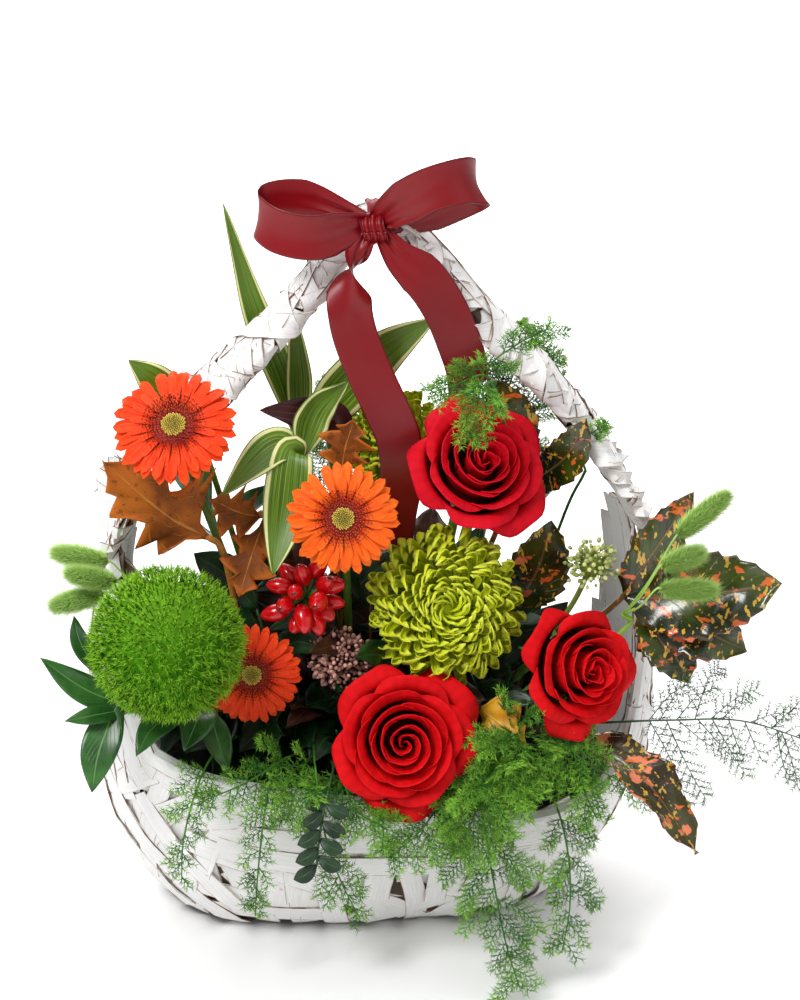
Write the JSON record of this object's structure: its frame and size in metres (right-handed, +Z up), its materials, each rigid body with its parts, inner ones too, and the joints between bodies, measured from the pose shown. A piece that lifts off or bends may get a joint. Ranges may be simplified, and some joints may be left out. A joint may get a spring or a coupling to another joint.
{
  "type": "flower basket arrangement",
  "caption": "Oval white chip-wood basket with a hoop handle and satin bow, filled with cut roses, gerberas, chrysanthemums, autumn leaves and ferns in wet foam.",
  "frame": {"origin": "centre of the basket's flat underside", "axes": "+Z up, -Y towards the front of the arrangement, +X to the right as seen from the front"},
  "size_m": [0.4503, 0.2982, 0.4488],
  "materials": {
    "rose_petal": "velvety matt",
    "rose_petal_crimson": "velvety matt",
    "gerbera_ray_orange": "satin",
    "gerbera_ray_red": "satin",
    "gerbera_disc": "matt",
    "mum_petal": "satin",
    "dianthus_bract": "matt",
    "grass_head": "soft matt",
    "oak_leaf": "dry matt",
    "oak_leaf_yellow": "dry matt",
    "croton_leaf": "glossy",
    "dracaena_leaf": "satin",
    "cordyline_leaf": "glossy",
    "ruscus_leaf": "glossy",
    "berry": "glossy",
    "skimmia_bud_pink": "matt",
    "skimmia_bud_green": "matt",
    "fern": "matt",
    "fern_dark": "matt",
    "stem": "satin",
    "painted_wood": "brushed white paint",
    "ribbon_satin": "satin",
    "tray_plastic": "matt",
    "wet_foam": "matt, wet"
  },
  "bodies": {
    "root": {"basket": "painted_wood", "handle": "painted_wood", "ribbon_bow": "ribbon_satin", "tray": "tray_plastic", "foam": "wet_foam", "rose_front": "rose_petal", "rose_front_stem": "stem", "rose_right": "rose_petal", "rose_right_stem": "stem", "rose_top": "rose_petal_crimson", "rose_top_stem": "stem", "gerbera_top_rays": "gerbera_ray_red", "gerbera_top_disc": "gerbera_disc", "gerbera_top_stem": "stem", "gerbera_mid_rays": "gerbera_ray_orange", "gerbera_mid_disc": "gerbera_disc", "gerbera_mid_stem": "stem", "gerbera_low_rays": "gerbera_ray_red", "gerbera_low_disc": "gerbera_disc", "gerbera_low_stem": "stem", "mum_front": "mum_petal", "mum_front_stem": "stem", "mum_back": "mum_petal", "mum_back_stem": "stem", "dianthus_head": "dianthus_bract", "bunny_tails_left": "grass_head", "bunny_tails_right": "grass_head", "oak_leaf_left": "oak_leaf", "oak_leaf_middle": "oak_leaf", "oak_leaf_upper": "oak_leaf", "oak_leaf_low": "oak_leaf_yellow", "croton_right": "croton_leaf", "croton_low": "croton_leaf", "croton_top": "croton_leaf", "croton_middle": "croton_leaf", "dracaena_tall": "dracaena_leaf", "dracaena_right": "dracaena_leaf", "dracaena_front": "dracaena_leaf", "dracaena_left": "dracaena_leaf", "cordyline_leaf": "cordyline_leaf", "ruscus_left": "ruscus_leaf", "ruscus_low_left": "ruscus_leaf", "ruscus_back_left": "ruscus_leaf", "ruscus_back_right": "ruscus_leaf", "berries": "berry", "skimmia_pink": "skimmia_bud_pink", "skimmia_green": "skimmia_bud_green", "fern_right": "fern_dark", "fern_top": "fern", "fern_left": "fern", "fern_front_left": "fern", "fern_front": "fern", "fern_front_right": "fern", "fern_low_right": "fern", "fern_back_left": "fern", "fern_back_right": "fern"}
  },
  "joints": []
}
